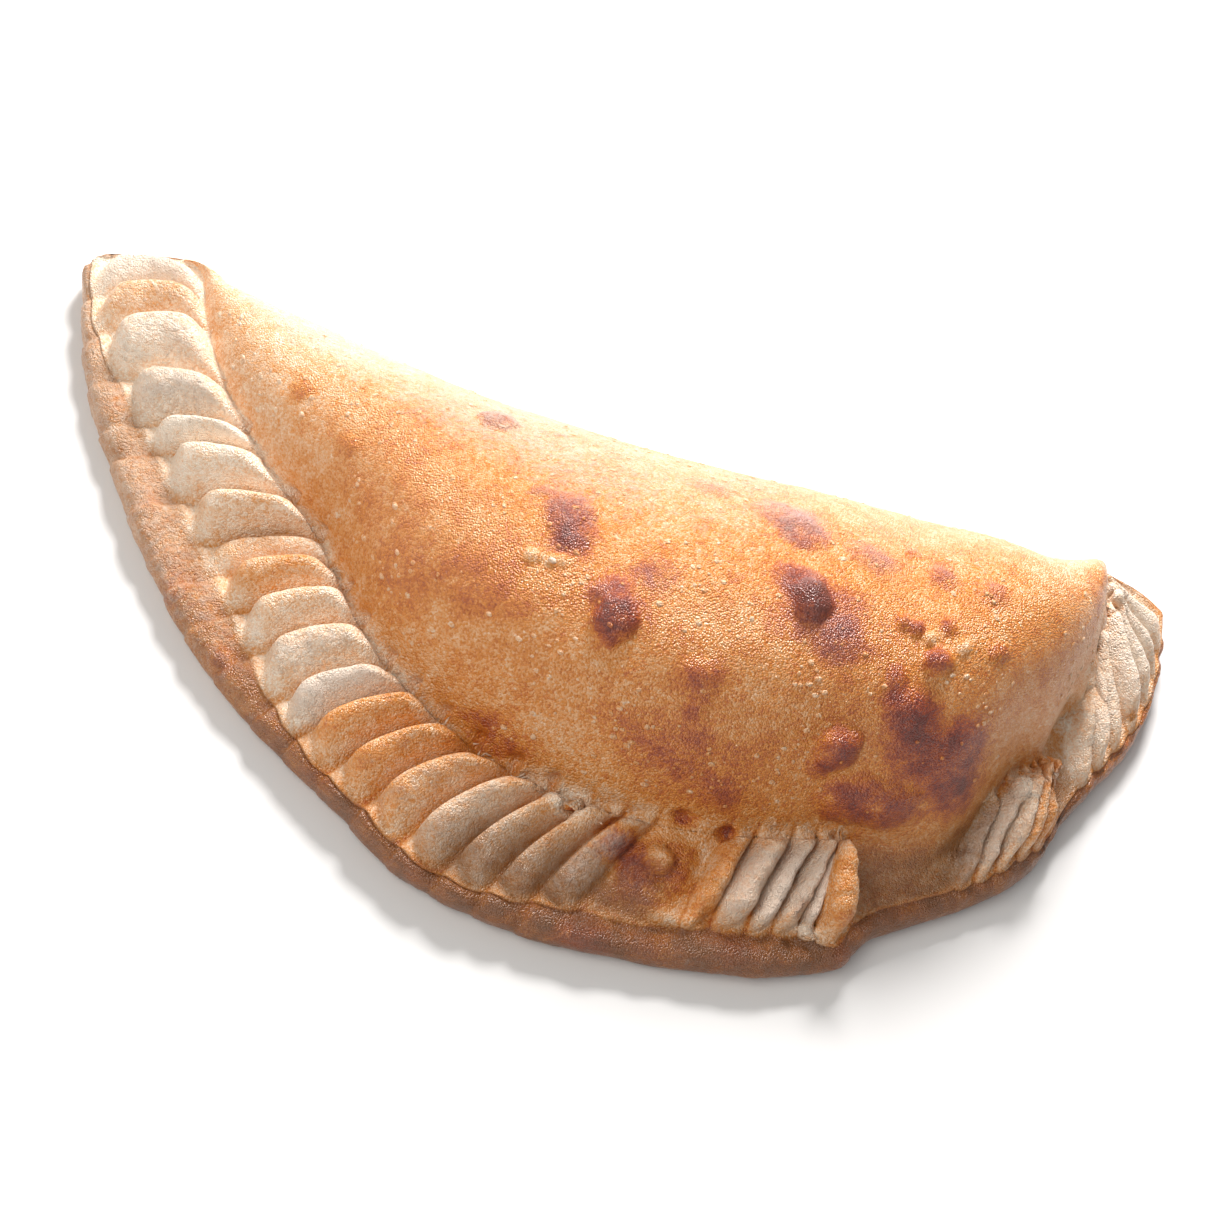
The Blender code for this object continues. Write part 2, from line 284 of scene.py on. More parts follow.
def baseColouring(held):
    # Before the blisters: pale crimp, tan dome, flour caught on the crests, painted shade on the ledge, in the pleat
    # valleys, on the low front pleats and in the recesses, and a painted highlight paling the dome's top
    swing, share, along, over = held["swing"], held["share"], held["along"], held["over"]
    crest = np.sin(math.pi * share ** 0.7) * smoothStep(0.0, 0.25, along) * (1 - smoothStep(0.75, 1.0, along))
    flat = (held["height"] == 0) & (swing > 120)
    onDome = np.where(flat, smoothStep(0.1, 0.9, along), smoothStep(0.98, 1.25, along))
    # Paler towards the dome's top: painted highlight. Paler near the left tip: partly paler dough, partly painted
    # highlight.
    dome = 0.42 - 0.2 * (1 - smoothStep(8, 38, swing)) - 0.06 * smoothStep(0.45, 0.8, over)
    dome = dome + 0.04 * smoothStep(80, 120, swing) - 0.12 * smoothStep(122, 160, swing)
    dome = dome - 0.05 * (1 - smoothStep(0.05, 0.25, over)) * smoothStep(20, 40, swing)
    dome = dome + 0.16 * smoothStep(0.76, 0.94, over) * smoothStep(5, 45, swing) * (1 - 0.5 * smoothStep(150, 170, swing))
    crimp = 0.04 + held["brown"] * (0.3 + 0.7 * crest) + 0.1 * smoothStep(0.6, 1.0, along) * smoothStep(30, 70, swing)
    crimp = crimp + 0.14 * (1 - smoothStep(0.0, 0.4, along)) * smoothStep(40, 85, swing)
    # Browner in the valleys between pleats: painted shade in the creases
    valley = (1 - smoothStep(0.0, 0.5, np.sin(math.pi * share ** 0.7))) * (held["height"] > 3)
    crimp = crimp + 0.22 * valley * smoothStep(-2, 24, swing) * (1 - 0.5 * smoothStep(150, 160, swing))
    ledge = 0.28 + 0.28 * smoothStep(15, 70, swing)
    onLedge = 1 - smoothStep(-0.14, 0.12, along)
    browned = crimp * (1 - onDome) + dome * onDome
    browned = browned * (1 - onLedge) + ledge * onLedge
    flour = held["flour"] * (0.25 + 0.75 * crest) * (1 - onDome) * (1 - onLedge)
    flour = flour + onLedge * (0.3 - 0.3 * smoothStep(30, 75, swing))
    # A pale band across the upper dome: partly flour dust, partly painted highlight
    flourAndHighlightBand = smoothStep(0.38, 0.62, over) * (1 - smoothStep(0.74, 0.88, over))
    flour = flour + 0.42 * flourAndHighlightBand * (1 - 0.7 * smoothStep(50, 120, swing))
    lowPleats = smoothStep(70, 80, swing) * (1 - smoothStep(97, 101, swing)) * (1 - smoothStep(0.2, 0.9, along))
    recess = smoothStep(121, 124, swing) * (1 - smoothStep(133, 136, swing)) * (1 - smoothStep(0.6, 1.3, along))
    # Painted shade: darker towards a dull brown on the ledge, the low front pleats, the recesses, the flat stretches
    # and the pleat valleys
    paintedShade = onLedge * (0.48 + 0.37 * smoothStep(25, 70, swing) - 0.4 * smoothStep(150, 166, swing))
    paintedShade = np.maximum(paintedShade, 0.7 * np.maximum(lowPleats, recess) * (1 - onLedge))
    paintedShade = np.maximum(paintedShade, 0.12 * valley * smoothStep(20, 60, swing) * (1 - onLedge) * (1 - onDome))
    paintedShade = np.maximum(paintedShade, 0.4 * flat * (1 - onLedge) * (1 - smoothStep(0.3, 1.2, along)))
    bottom = smoothStep(5.9, 6.1, along) + (1 - smoothStep(-1.6, -1.3, along))
    return browned, np.maximum(flour, 0.5 * bottom), paintedShade


def skinMesh(name, rings, fields):
    count, around = rings.shape[:2]
    column = np.arange(count - 1)[:, None] * around
    row = np.arange(around)[None, :]
    following = (row + 1) % around
    quads = np.stack([
        column + row, column + around + row, column + around + following, column + following,
    ], -1).reshape(-1, 4)
    points = rings.reshape(-1, 3) * mm
    poles = [rings[0].mean(0) * mm, rings[-1].mean(0) * mm]
    firstPole = len(points)
    faces = quads.tolist()
    for corner in range(around):
        following = (corner + 1) % around
        faces.append((firstPole, corner, following))
        faces.append((firstPole + 1, (count - 1) * around + following, (count - 1) * around + corner))
    mesh = bpy.data.meshes.new(name)
    mesh.from_pydata(np.concatenate([points, poles]).tolist(), [], faces)
    for field, value in fields.items():
        flat = value.reshape(-1)
        layer = mesh.attributes.new(field, "FLOAT", "POINT")
        layer.data.foreach_set("value", np.concatenate([flat, [flat[0], flat[-1]]]).astype(np.float32))
    mesh.update()
    return mesh


def addNode(tree, kind, inputs=(), **settings):
    node = tree.nodes.new(kind)
    for key, value in settings.items():
        setattr(node, key, value)
    for key, value in dict(inputs).items():
        if isinstance(value, bpy.types.NodeSocket):
            tree.links.new(value, node.inputs[key])
        else:
            node.inputs[key].default_value = value
    return node


def calc(tree, operation, *values):
    node = addNode(tree, "ShaderNodeMath", dict(enumerate(values)), operation=operation)
    return node.outputs[0]


def vectorCalc(tree, operation, *values, output="Vector"):
    node = tree.nodes.new("ShaderNodeVectorMath")
    node.operation = operation
    for index, value in enumerate(values):
        socket = node.inputs["Scale"] if operation == "SCALE" and index == 1 else node.inputs[index]
        if isinstance(value, bpy.types.NodeSocket):
            tree.links.new(value, socket)
        else:
            socket.default_value = value
    return node.outputs[output]


def mapped(tree, value, fromLow, fromHigh, toLow=0.0, toHigh=1.0, smooth=True):
    inputs = {"Value": value, "From Min": fromLow, "From Max": fromHigh, "To Min": toLow, "To Max": toHigh}
    kind = "SMOOTHSTEP" if smooth else "LINEAR"
    return addNode(tree, "ShaderNodeMapRange", inputs, interpolation_type=kind).outputs["Result"]


def curveOf(tree, value, points):
    node = addNode(tree, "ShaderNodeFloatCurve", {"Value": value})
    curve = node.mapping.curves[0]
    curve.points[0].location = points[0]
    curve.points[1].location = points[-1]
    for point in points[1:-1]:
        curve.points.new(*point)
    node.mapping.update()
    return node.outputs["Value"]


def named(tree, name, kind="FLOAT"):
    return addNode(tree, "GeometryNodeInputNamedAttribute", {"Name": name}, data_type=kind).outputs["Attribute"]


def stored(tree, geometry, name, value, kind="FLOAT"):
    inputs = {"Geometry": geometry, "Name": name, "Value": value}
    node = addNode(tree, "GeometryNodeStoreNamedAttribute", inputs, data_type=kind, domain="POINT")
    return node.outputs["Geometry"]


def newTree(name, sockets):
    # A tree with a geometry in and out, and named inputs as (name, kind, default)
    tree = bpy.data.node_groups.new(name, "GeometryNodeTree")
    tree.is_modifier = True
    tree.interface.new_socket("Geometry", in_out="INPUT", socket_type="NodeSocketGeometry")
    tree.interface.new_socket("Geometry", in_out="OUTPUT", socket_type="NodeSocketGeometry")
    for label, kind, value in sockets:
        socket = tree.interface.new_socket(label, in_out="INPUT", socket_type="NodeSocket" + kind)
        if value is not None:
            socket.default_value = value
    return tree, tree.nodes.new("NodeGroupInput"), tree.nodes.new("NodeGroupOutput")


def closeTree(tree, geometry, material, groupOut):
    realized = addNode(tree, "GeometryNodeRealizeInstances", {"Geometry": geometry}).outputs["Geometry"]
    painted = addNode(tree, "GeometryNodeSetMaterial", {"Geometry": realized, "Material": material})
    tree.links.new(painted.outputs["Geometry"], groupOut.inputs["Geometry"])


def runTree(piece, tree, values):
    # Puts the tree on the piece with these inputs, and leaves its result as a plain mesh
    modifier = piece.modifiers.new(tree.name, "NODES")
    modifier.node_group = tree
    for item in tree.interface.items_tree:
        if item.item_type == "SOCKET" and item.in_out == "INPUT" and item.name in values:
            modifier[item.identifier] = values[item.name]
    graph = bpy.context.evaluated_depsgraph_get()
    mesh = bpy.data.meshes.new_from_object(
        piece.evaluated_get(graph), preserve_all_data_layers=True, depsgraph=graph
    )
    piece.modifiers.remove(modifier)
    piece.data = mesh
    return piece


def addPiece(name, mesh):
    piece = bpy.data.objects.new(name, mesh)
    bpy.context.scene.collection.objects.link(piece)
    return piece


def colour(red, green, blue):
    # A colour as given on screen, 0 to 255, made linear
    def linear(value):
        value /= 255
        return value / 12.92 if value <= 0.04045 else ((value + 0.055) / 1.055) ** 2.4
    return (linear(red), linear(green), linear(blue), 1.0)


crust = {
    # browning from raw to burnt, with the colour it gives
    "bake": [
        (0.00, colour(247, 229, 208)), (0.14, colour(241, 206, 172)), (0.28, colour(230, 173, 120)),
        (0.42, colour(220, 136, 42)), (0.56, colour(196, 102, 18)), (0.70, colour(168, 74, 16)),
        (0.85, colour(138, 46, 10)), (1.00, colour(108, 32, 8)),
    ],
    # flour, and the pale of the painted highlight band on the dome
    "flourAndSheenColour": colour(249, 227, 209),
    # purple-grey of ash, on the upper marks partly a painted sheen
    "ashAndSheenColour": colour(178, 142, 132),
    # the dark brown that the painted shade mixes in
    "paintedShadeColour": colour(122, 72, 26),
    "patchScale": 34.0,
    "mottleScale": 210.0,
    "grainScale": 2300.0,
    "bumpDepth": 0.0003,
    "roughness": 0.36,
}


def crustMaterial():
    material = bpy.data.materials.new("baked_crust")
    material.use_nodes = True
    tree = material.node_tree
    tree.nodes.clear()
    place = addNode(tree, "ShaderNodeTexCoord").outputs["Object"]

    def attribute(name):
        return addNode(tree, "ShaderNodeAttribute", attribute_name=name, attribute_type="GEOMETRY").outputs["Fac"]

    def noise(scale, detail, roughness=0.55, twist=0.0):
        inputs = {"Vector": place, "Scale": scale, "Detail": detail, "Roughness": roughness, "Distortion": twist}
        return addNode(tree, "ShaderNodeTexNoise", inputs).outputs["Fac"]

    def spread(value, amount):
        # noise brought round zero and scaled
        return calc(tree, "MULTIPLY", calc(tree, "SUBTRACT", value, 0.5), amount)

    patches = noise(crust["patchScale"], 3.0)
    mottle = noise(crust["mottleScale"], 4.0)
    cells = addNode(tree, "ShaderNodeTexVoronoi", {"Vector": place, "Scale": crust["grainScale"]})
    tone = addNode(tree, "ShaderNodeSeparateColor", {"Color": cells.outputs["Color"]}).outputs[0]
    grain = calc(tree, "SUBTRACT", calc(tree, "MULTIPLY", tone, 0.8), cells.outputs["Distance"])
    scorched = calc(tree, "MULTIPLY", attribute("scorch"), calc(tree, "ADD", spread(mottle, 1.6), 1.0))
    scorched = calc(tree, "MINIMUM", scorched, 0.6)
    browned = calc(tree, "ADD", attribute("browned"), scorched)
    uneven = calc(tree, "ADD", spread(patches, 0.24), spread(mottle, 0.34))
    uneven = calc(tree, "ADD", uneven, spread(tone, -0.2))
    uneven = calc(tree, "ADD", uneven, spread(noise(800.0, 2.0, 0.6, 0.8), 0.32))
    baked = calc(tree, "ADD", browned, uneven)
    ramp = addNode(tree, "ShaderNodeValToRGB", {"Fac": baked})
    stops = ramp.color_ramp.elements
    stops[0].position, stops[0].color = crust["bake"][0]
    stops[1].position, stops[1].color = crust["bake"][-1]
    for position, shade in crust["bake"][1:-1]:
        stops.new(position).color = shade

    dust = noise(620.0, 4.0, 0.75)
    # Flour, with the painted highlight band on the upper dome
    flourAndSheenAmount = calc(tree, "ADD", attribute("floured"), spread(dust, 1.2))
    flourAndSheenAmount = calc(tree, "ADD", flourAndSheenAmount, spread(patches, 0.5))
    flourAndSheenAmount = mapped(tree, flourAndSheenAmount, 0.1, 0.9, 0.0, 0.84)
    # Painted shade, varied by the mottle and lifted where the crust is burnt
    paintedShadeAmount = calc(tree, "MULTIPLY", attribute("paintedShade"), calc(tree, "ADD", spread(mottle, 1.2), 1.0))
    unburnt = calc(tree, "MULTIPLY_ADD", attribute("scorch"), -1.0, 1.0)
    paintedShadeAmount = calc(tree, "MULTIPLY", paintedShadeAmount, calc(tree, "MAXIMUM", unburnt, 0.0))
    withPaintedShade = addNode(tree, "ShaderNodeMix", {"Factor": paintedShadeAmount}, data_type="RGBA")
    tree.links.new(ramp.outputs["Color"], withPaintedShade.inputs["A"])
    withPaintedShade.inputs["B"].default_value = crust["paintedShadeColour"]
    # Ash, on the upper marks partly a painted sheen
    withAshAndSheen = addNode(tree, "ShaderNodeMix", {"Factor": attribute("ash")}, data_type="RGBA")
    tree.links.new(withPaintedShade.outputs["Result"], withAshAndSheen.inputs["A"])
    withAshAndSheen.inputs["B"].default_value = crust["ashAndSheenColour"]
    base = addNode(tree, "ShaderNodeMix", {"Factor": flourAndSheenAmount}, data_type="RGBA")
    tree.links.new(withAshAndSheen.outputs["Result"], base.inputs["A"])
    base.inputs["B"].default_value = crust["flourAndSheenColour"]

    rough = calc(tree, "ADD", crust["roughness"], spread(mottle, 0.3))
    rough = calc(tree, "ADD", rough, calc(tree, "MULTIPLY", flourAndSheenAmount, 0.4))

    height = calc(tree, "MULTIPLY_ADD", mottle, 0.35, grain)
    height = calc(tree, "ADD", height, calc(tree, "MULTIPLY", calc(tree, "MULTIPLY", dust, flourAndSheenAmount), 4.0))
    bump = addNode(tree, "ShaderNodeBump", {"Height": height, "Strength": 1.0, "Distance": crust["bumpDepth"]})

    shader = addNode(tree, "ShaderNodeBsdfPrincipled", {
        "Base Color": base.outputs["Result"],
        "Roughness": rough,
        "Normal": bump.outputs["Normal"],
        "Specular IOR Level": 0.8,
        "Coat Weight": 0.25,
        "Coat Roughness": 0.36,
        "Coat Normal": bump.outputs["Normal"],
    })
    out = tree.nodes.new("ShaderNodeOutputMaterial")
    tree.links.new(shader.outputs["BSDF"], out.inputs["Surface"])
    return material


# Raising the pleats. A pleat lies over its neighbour: steep on one side, sloping off to the other.
crimp = {
    "Pleat height": 1.12,
    "Overhang": 0.9,         # mm that a crest leans over its neighbour
    "Pit depth": 3.6,        # mm, where a pleat's inner end leaves a hollow beside the dome
    "Web height": 0.9,       # mm of the ridge that a crest runs on as, into the dome
    "Flap": 0.5,             # mm that the crimped band stands above the ledge
    "Ripple": 1.1,           # mm of each pleat that runs on over the ledge
    "Unevenness": 1.5,       # mm of slow rise and fall in the dough
    "Seed": 3.0,
    "across": [
        (0, 0.0), (0.03, 0.34), (0.075, 0.8), (0.14, 1.0), (0.28, 0.99), (0.48, 0.86), (0.7, 0.58),
        (0.88, 0.22), (1, 0.0),
    ],
    "lengthways": [
        (0, 0.0), (0.05, 0.28), (0.12, 0.6), (0.22, 0.86), (0.36, 0.98), (0.6, 1.0), (0.8, 0.97),
        (0.9, 0.8), (0.96, 0.44), (1, 0.0),
    ],
}


def crimpTree(material):
    tree, given, result = newTree("raise pleats", [
        (name, "Float", 1.0)
        for name in ("Pleat height", "Overhang", "Pit depth", "Web height", "Flap", "Ripple", "Unevenness", "Seed")
    ])
    share = named(tree, "share")
    along = named(tree, "along")
    side = named(tree, "side")
    normal = tree.nodes.new("GeometryNodeInputNormal").outputs[0]
    position = tree.nodes.new("GeometryNodeInputPosition").outputs[0]
    hasPleat = mapped(tree, named(tree, "height"), 2.0, 5.0)

    def product(*values):
        whole = values[0]
        for value in values[1:]:
            whole = calc(tree, "MULTIPLY", whole, value)
        return whole

    def bell(value, middle, width):
        away = calc(tree, "DIVIDE", calc(tree, "SUBTRACT", value, middle), width)
        return calc(tree, "EXPONENT", product(away, away, -1.0))

    # from the steep side to the other, whichever way the pleat lies
    mirrored = calc(tree, "SUBTRACT", 1.0, share)
    turned = calc(tree, "ADD", product(share, side), product(mirrored, calc(tree, "SUBTRACT", 1.0, side)))
    lapped = curveOf(tree, turned, crimp["across"])
    rolled = calc(tree, "POWER", calc(tree, "MAXIMUM", calc(tree, "SINE", product(share, math.pi)), 0.0), 0.7)
    arch = calc(tree, "ADD", product(lapped, side), product(rolled, calc(tree, "SUBTRACT", 1.0, side)))
    behind = calc(tree, "SUBTRACT", 1.0, turned)
    outerEnd = product(calc(tree, "POWER", behind, 1.6), 0.15)
    innerMost = mapped(tree, named(tree, "swing"), 4.0, 16.0, 1.0, 1.1)
    innerEnd = calc(tree, "SUBTRACT", innerMost, product(calc(tree, "POWER", behind, 1.3), named(tree, "cut")))
    reach = calc(tree, "DIVIDE", calc(tree, "SUBTRACT", along, outerEnd), calc(tree, "SUBTRACT", innerEnd, outerEnd))
    length = curveOf(tree, mapped(tree, reach, 0.0, 1.0, smooth=False), crimp["lengthways"])
    shape = product(arch, length, calc(tree, "GREATER_THAN", along, -0.01))
    rise = product(named(tree, "height"), shape, given.outputs["Pleat height"])

    standsTall = product(mapped(tree, named(tree, "height"), 5.6, 7.4), mapped(tree, named(tree, "swing"), 6.0, 18.0), side)
    pit = product(bell(turned, 0.88, 0.2), bell(along, 1.06, 0.09), given.outputs["Pit depth"], standsTall)
    web = product(
        bell(share, 0.06, 0.12), mapped(tree, along, 0.84, 0.98), mapped(tree, along, 1.36, 1.0),
        given.outputs["Web height"], standsTall,
    )
    flap = product(mapped(tree, along, -0.035, 0.01), mapped(tree, along, 0.5, 0.1), given.outputs["Flap"])
    onLedge = product(mapped(tree, along, -1.3, -0.7), mapped(tree, along, 0.12, 0.0))
    onCrimp = product(mapped(tree, along, 0.0, 0.15), mapped(tree, along, 1.3, 0.9))
    ripple = product(arch, hasPleat, onLedge, side, given.outputs["Ripple"])

    def slowNoise(scale, amount):
        inputs = {"Vector": position, "W": given.outputs["Seed"], "Scale": scale, "Detail": 2.0}
        noise = addNode(tree, "ShaderNodeTexNoise", inputs, noise_dimensions="4D").outputs["Fac"]
        return product(calc(tree, "SUBTRACT", noise, 0.5), amount, given.outputs["Unevenness"])

    above = product(mapped(tree, along, -1.7, -1.2), mapped(tree, along, 5.95, 5.4))
    uneven = product(calc(tree, "ADD", slowNoise(30.0, 1.0), slowNoise(110.0, 0.45)), above)
    lumps = product(calc(tree, "ADD", slowNoise(75.0, 2.2), slowNoise(240.0, 1.4)), onLedge)
    lumps = calc(tree, "ADD", lumps, product(slowNoise(190.0, 1.1), onCrimp))
    bunched = product(calc(tree, "SUBTRACT", 1.0, side), hasPleat, onCrimp)
    bunched = product(bunched, mapped(tree, named(tree, "swing"), 152.0, 160.0, 1.0, 0.25))
    lumps = calc(tree, "ADD", lumps, product(calc(tree, "ADD", slowNoise(130.0, 3.6), slowNoise(320.0, 1.8)), bunched))
    lift = calc(tree, "SUBTRACT", calc(tree, "ADD", calc(tree, "ADD", rise, web), flap), pit)
    lift = calc(tree, "ADD", calc(tree, "ADD", lift, ripple), calc(tree, "ADD", uneven, lumps))
    lift = product(lift, mm)
    towards = calc(tree, "SUBTRACT", product(side, 2.0), 1.0)
    lean = product(shape, given.outputs["Overhang"], mm, hasPleat, towards)
    offset = vectorCalc(tree, "ADD", vectorCalc(tree, "SCALE", normal, lift),
                        vectorCalc(tree, "SCALE", named(tree, "leftward", "FLOAT_VECTOR"), lean))
    moved = addNode(tree, "GeometryNodeSetPosition", {"Geometry": given.outputs["Geometry"], "Offset": offset})
    kept = stored(tree, moved.outputs["Geometry"], "crest", shape)
    closeTree(tree, kept, material, result)
    return tree


# Blisters, burnt patches, lumps and dents: swing, place, size across in mm, stretch along the calzone, rise
# in mm, browning, how crisp its edge is and how ashen it is, the purple-grey ash being partly a painted sheen
# on the upper marks. The place is from the groove 0 to the fold 1 on the dome, and from the rim 0 to the groove 1 on
# the crimp.
domeMarks = [
    (44.1, 0.62, 8, 1.15, 2.0, 0.30, 1.0, 0.0), (53.4, 0.67, 3, 2.4, 0.3, 0.16, 0.9, 0.0),
    (58, 0.50, 4, 1.3, 0.5, 0.22, 0.8, 0.1), (63.4, 0.49, 11, 1.2, 1.6, 0.30, 0.6, 0.1), (65.4, 0.455, 10, 1.2, 1.3, 0.28, 0.5, 0.05),
    (66, 0.42, 7, 1.2, 0.3, 0.22, 0.3, 0.0), (76.1, 0.325, 11, 1.0, 3.0, 0.40, 1.0, 0.0), (74.6, 0.37, 9, 1.3, 1.4, 0.24, 0.6, 0.05),
    (75.5, 0.36, 17, 1.0, 0.3, 0.14, 0.2, 0.04), (79, 0.43, 9, 1.2, 0.3, 0.18, 0.2, 0.15),
    (89.3, 0.28, 11, 1.0, 0.8, 0.26, 0.3, 0.0), (91, 0.23, 6, 1.0, 0.6, 0.20, 0.5, 0.0),
    (83.2, 0.67, 8, 1.5, 0.4, 0.16, 0.2, 0.3), (98.2, 0.63, 12, 1.5, 1.4, 0.24, 0.5, 0.35), (100.6, 0.595, 10, 1.3, 1.0, 0.24, 0.5, 0.15),
    (100.5, 0.57, 4, 1.3, 0.5, 0.24, 0.8, 0.0), (102.9, 0.455, 9.5, 1.1, 3.0, 0.36, 0.9, 0.0), (100.8, 0.485, 10, 1.3, 1.6, 0.30, 0.7, 0.02),
    (104.5, 0.43, 19, 1.3, 0.4, 0.24, 0.3, 0.06), (107.5, 0.39, 12, 1.2, 0.2, 0.16, 0.3, 0.1),
    (111.8, 0.57, 9, 1.3, 0.5, 0.12, 0.2, 0.3), (119, 0.60, 4, 1.3, 0.4, 0.2, 0.7, 0.0),
    (122.7, 0.56, 8, 1.1, 0.8, 0.18, 0.4, 0.1), (129.2, 0.51, 8, 1.1, 1.0, 0.20, 0.4, 0.1),
    (117, 0.44, 4, 1.0, 1.2, 0.14, 0.8, 0.0), (119.3, 0.43, 4.5, 1.0, 1.3, 0.24, 0.8, 0.0),
    (121.7, 0.42, 4, 1.0, 1.4, -0.20, 0.8, 0.0), (124, 0.44, 4.5, 1.0, 1.0, 0.24, 0.8, 0.0),
    (126, 0.40, 3.5, 1.0, 1.0, -0.24, 0.9, 0.0), (123.3, 0.37, 7, 1.1, 2.4, 0.30, 0.9, 0.0),
    (130, 0.37, 5, 1.0, 0.9, 0.18, 0.7, 0.0), (110.7, 0.19, 11, 1.0, 3.0, 0.34, 0.9, 0.0),
    (109, 0.145, 6, 1.2, 0.4, 0.22, 0.4, 0.0), (121.2, 0.085, 14, 1.9, 2.6, 0.40, 0.8, 0.0),
    (117.5, 0.33, 8, 0.7, 0.5, 0.30, 0.3, 0.0), (120.3, 0.27, 13, 0.9, 1.2, 0.38, 0.5, 0.0),
    (123, 0.21, 18, 0.8, 0.6, 0.34, 0.2, 0.0), (127, 0.16, 20, 0.9, 1.0, 0.34, 0.2, 0.0),
    (128.4, 0.09, 16, 1.1, 0.4, 0.26, 0.3, 0.0), (127.7, 0.21, 12, 1.0, 0.3, 0.20, 0.2, 0.05),
    (68.5, 0.045, 13, 1.7, 0.0, 0.26, 0.4, 0.0), (97, 0.12, 24, 1.3, 0.3, 0.12, 0.1, 0.0),
    (99, 0.08, 10, 1.3, 0.3, 0.14, 0.3, 0.0), (28.3, 0.29, 6, 1.3, 0.5, 0.18, 0.3, 0.0),
    (18.2, 0.32, 7, 1.2, 0.3, 0.16, 0.2, 0.0), (34, 0.2, 9, 1.3, 0.2, 0.10, 0.2, 0.0),
    (88, 0.15, 16, 1.3, 0.2, 0.10, 0.1, 0.0), (81, 0.17, 10, 1.3, 0.2, 0.10, 0.3, 0.0),
    (57, 0.28, 18, 1.4, 0.2, 0.10, 0.1, 0.0), (48, 0.16, 14, 1.4, 0.2, 0.10, 0.1, 0.0),
    (62.2, 0.37, 3.5, 1.4, 0.9, -0.22, 0.8, 0.0), (66.1, 0.39, 3, 1.6, 0.8, -0.22, 0.8, 0.0),
    (64.4, 0.38, 2.5, 1.2, 0.7, -0.22, 0.8, 0.0), (154.5, 0.44, 12, 1.2, 0.3, 0.10, 0.2, 0.0),
    (95.5, 0.02, 4, 1.8, -1.4, 0.26, 0.7, 0.0), (159.2, 0.48, 10, 0.8, 0.8, 0.06, 0.3, 0.0),
]
domeMarks += [
    (158.5, 0.22, 8, 1.0, 1.2, -0.04, 0.5, 0.0), (163.5, 0.14, 6, 1.0, 1.2, -0.08, 0.6, 0.0),
    (155.5, 0.12, 8, 1.0, 1.4, 0.0, 0.5, 0.0), (160.5, 0.08, 4, 1.0, -1.0, 0.06, 0.6, 0.0),
    (152.0, 0.06, 7, 1.0, -1.0, 0.04, 0.4, 0.0),
]
crimpMarks = [
    (90.5, 0.68, 10, 1.2, 0.6, 0.55, 0.6, 0.0), (94.6, 0.46, 9, 1.0, 0.3, 0.26, 0.3, 0.0),
    (95.7, 0.63, 7, 1.0, 3.6, -0.24, 1.0, 0.0), (99.5, 0.55, 11, 1.0, 1.4, 0.30, 0.4, 0.0),
    (97.5, 0.30, 11, 1.2, 0.8, 0.10, 0.3, 0.0), (100.1, 0.10, 5, 1.1, 1.4, -0.10, 0.7, 0.0),
    (102.2, 0.02, 5, 1.2, 1.4, -0.08, 0.7, 0.0), (102.4, 1.0, 5, 1.5, -1.2, 0.26, 0.6, 0.0),
    (113.1, 0.22, 6, 0.8, -1.6, 0.16, 0.6, 0.2), (115.9, 0.02, 6, 1.8, 1.5, -0.20, 0.8, 0.0),
    (133, 0.34, 4, 1.4, 0.9, -0.14, 0.7, 0.0), (136.5, 0.86, 7, 1.0, 2.4, -0.10, 0.9, 0.0),
    (144.8, 0.80, 12, 1.2, -1.6, 0.10, 0.3, 0.2), (153, 0.88, 4, 1.2, 1.0, -0.18, 0.8, 0.0),
    (160.3, 0.98, 6, 1.0, -2.2, 0.16, 0.6, 0.0), (166.5, 0.92, 6, 0.9, -1.5, 0.10, 0.5, 0.0),
    (164.0, 0.12, 3, 1.0, -0.8, 0.24, 0.9, 0.0), (80.1, 1.0, 8.5, 1.6, 1.3, -0.2, 0.8, 0.0),
    (80.1, 1.0, 5.6, 1.6, -3.4, 0.16, 0.9, 0.0), (80.6, 1.02, 1.6, 1.2, 0.9, 0.7, 1.0, 0.0), (74.8, 1.04, 5, 1.5, -1.8, 0.04, 0.9, 0.0),
    (92.9, -0.8, 10, 1.4, 0.6, 0.34, 0.5, 0.0), (118.9, -0.7, 9, 1.0, 1.2, 0.16, 0.6, 0.0),
    (108, -0.5, 8, 1.6, 0.4, 0.16, 0.3, 0.0), (99, -0.6, 7, 1.4, 0.8, 0.10, 0.4, 0.0),
    (36, -0.7, 9, 0.8, 0.4, 0.14, 0.3, 0.0), (46, -0.7, 8, 0.9, 0.3, 0.16, 0.3, 0.0),
    (26, -0.5, 7, 0.9, 0.8, 0.10, 0.4, 0.0), (14, -0.4, 8, 0.8, 0.5, 0.05, 0.4, 0.0),
    (62, -0.6, 7, 1.0, 0.4, 0.12, 0.3, 0.0), (76, -0.6, 8, 1.2, 0.5, 0.10, 0.3, 0.0),
]
# The split where the last folds meet the dome: a browned line with a pale lip on its outer side
crimpMarks += [(161 + 1.1 * step, 1.0, 2.0, 1.0, -0.7, 0.22, 0.9, 0.0) for step in range(9)]
crimpMarks += [(162 + 1.3 * step, 0.92, 3.6, 1.0, 0.9, -0.12, 0.7, 0.0) for step in range(9)]

blistering = {
    "Ragged": 0.32,          # how uneven a mark's outline is
    "Ragged scale": 190.0,
}


